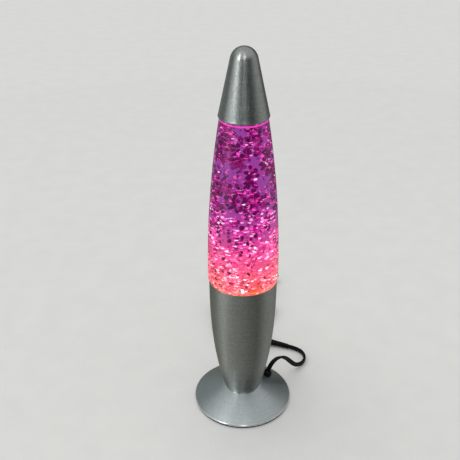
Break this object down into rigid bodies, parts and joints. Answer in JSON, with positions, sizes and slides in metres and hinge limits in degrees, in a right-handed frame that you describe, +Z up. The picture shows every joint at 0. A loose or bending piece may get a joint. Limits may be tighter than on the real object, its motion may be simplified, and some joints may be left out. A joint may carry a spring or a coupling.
{
  "type": "glitter lamp",
  "caption": "Table glitter lamp: a tapered glass bottle of violet glitter liquid under a pointed aluminium cap, in a bullet-shaped holder with a bulb on a cone foot.",
  "frame": {"origin": "on the table, under the middle of the foot", "axes": "+Z up along the lamp's axis; the lamp is seen from -Y, its cord leaves on the +X side behind the middle"},
  "size_m": [0.1117, 0.2624, 0.34],
  "materials": {
    "pad": "matt black foam rubber",
    "cover": "black fibre board",
    "foot_aluminium": "satin spun aluminium, bright edge",
    "spun_aluminium": "satin spun aluminium with lathe lines",
    "gland_rubber": "black rubber",
    "brass": "bright brass",
    "zinc_steel": "zinc plated steel",
    "porcelain": "glazed steatite",
    "wire_brown": "brown insulation",
    "wire_blue": "blue insulation",
    "solder": "solder",
    "black_glass": "black vitrite glass",
    "bulb_glass": "frosted glass, lit",
    "clear_glass": "clear glass",
    "tungsten": "tungsten and nickel wire, glowing",
    "bottle_glass": "clear glass",
    "tinted_liquid": "violet liquid",
    "glitter_film": "metallised film",
    "closure_metal": "lacquered tin plate",
    "seal": "pale rubber seal",
    "flex": "black flexible PVC",
    "tie": "black strap",
    "black_plastic": "black moulded plastic"
  },
  "bodies": {
    "base": {"base_pad": "pad", "bottom_cover": "cover", "foot": "foot_aluminium", "cord_gland": "gland_rubber", "threaded_pipe": "brass", "pipe_nuts": "zinc_steel", "pipe_washers": "zinc_steel", "holder": "spun_aluminium", "lampholder_base": "porcelain", "lampholder_barrel": "porcelain", "screw_shell": "brass", "centre_contact": "brass", "terminal_screws": "brass", "wire_live": "wire_brown", "wire_neutral": "wire_blue", "cord_lead": "flex", "switch_base": "black_plastic", "switch_cover": "black_plastic", "switch_contacts": "brass", "switch_screws": "zinc_steel", "switch_reliefs": "gland_rubber", "cord_tail": "flex", "cord_coil": "flex", "cord_tie": "tie", "plug_body": "black_plastic", "plug_pins": "brass", "pin_sleeves": "black_plastic"},
    "bulb_tip": {"bulb_contact": "solder"},
    "bulb": {"bulb_insulator": "black_glass", "bulb_screw_cap": "brass", "bulb_glass": "bulb_glass", "bulb_stem": "clear_glass", "bulb_filament": "tungsten"},
    "bottle": {"bottle": "bottle_glass", "liquid": "tinted_liquid", "glitter": "glitter_film", "bottle_closure": "closure_metal", "closure_seal": "seal"},
    "cap": {"cap": "spun_aluminium"},
    "rocker": {"switch_rocker": "black_plastic", "switch_bridge": "brass"}
  },
  "joints": [
    {"name": "bottle_lift", "type": "slide", "parent": "base", "child": "bottle", "axis": [0, 0, 1], "range_m": [0, 0.06]},
    {"name": "cap_lift", "type": "slide", "parent": "bottle", "child": "cap", "axis": [0, 0, 1], "range_m": [0, 0.06]},
    {"name": "bulb_rise", "type": "slide", "parent": "base", "child": "bulb_tip", "axis": [0, 0, 1], "range_m": [0, 0.0142]},
    {"name": "bulb_turn", "type": "hinge", "parent": "bulb_tip", "child": "bulb", "pos_m": [0, 0, 0.05], "axis": [0, 0, 1], "range_deg": [0, 1800]},
    {"name": "rocker_tip", "type": "hinge", "parent": "base", "child": "rocker", "pos_m": [0.0045, 0.086, 0.0105], "axis": [0.342, 0.9397, 0], "range_deg": [0, 16]}
  ],
  "couplings": [
    {"joint": "bulb_rise", "follows": "bulb_turn", "m_per_rad": 0.00044882}
  ]
}
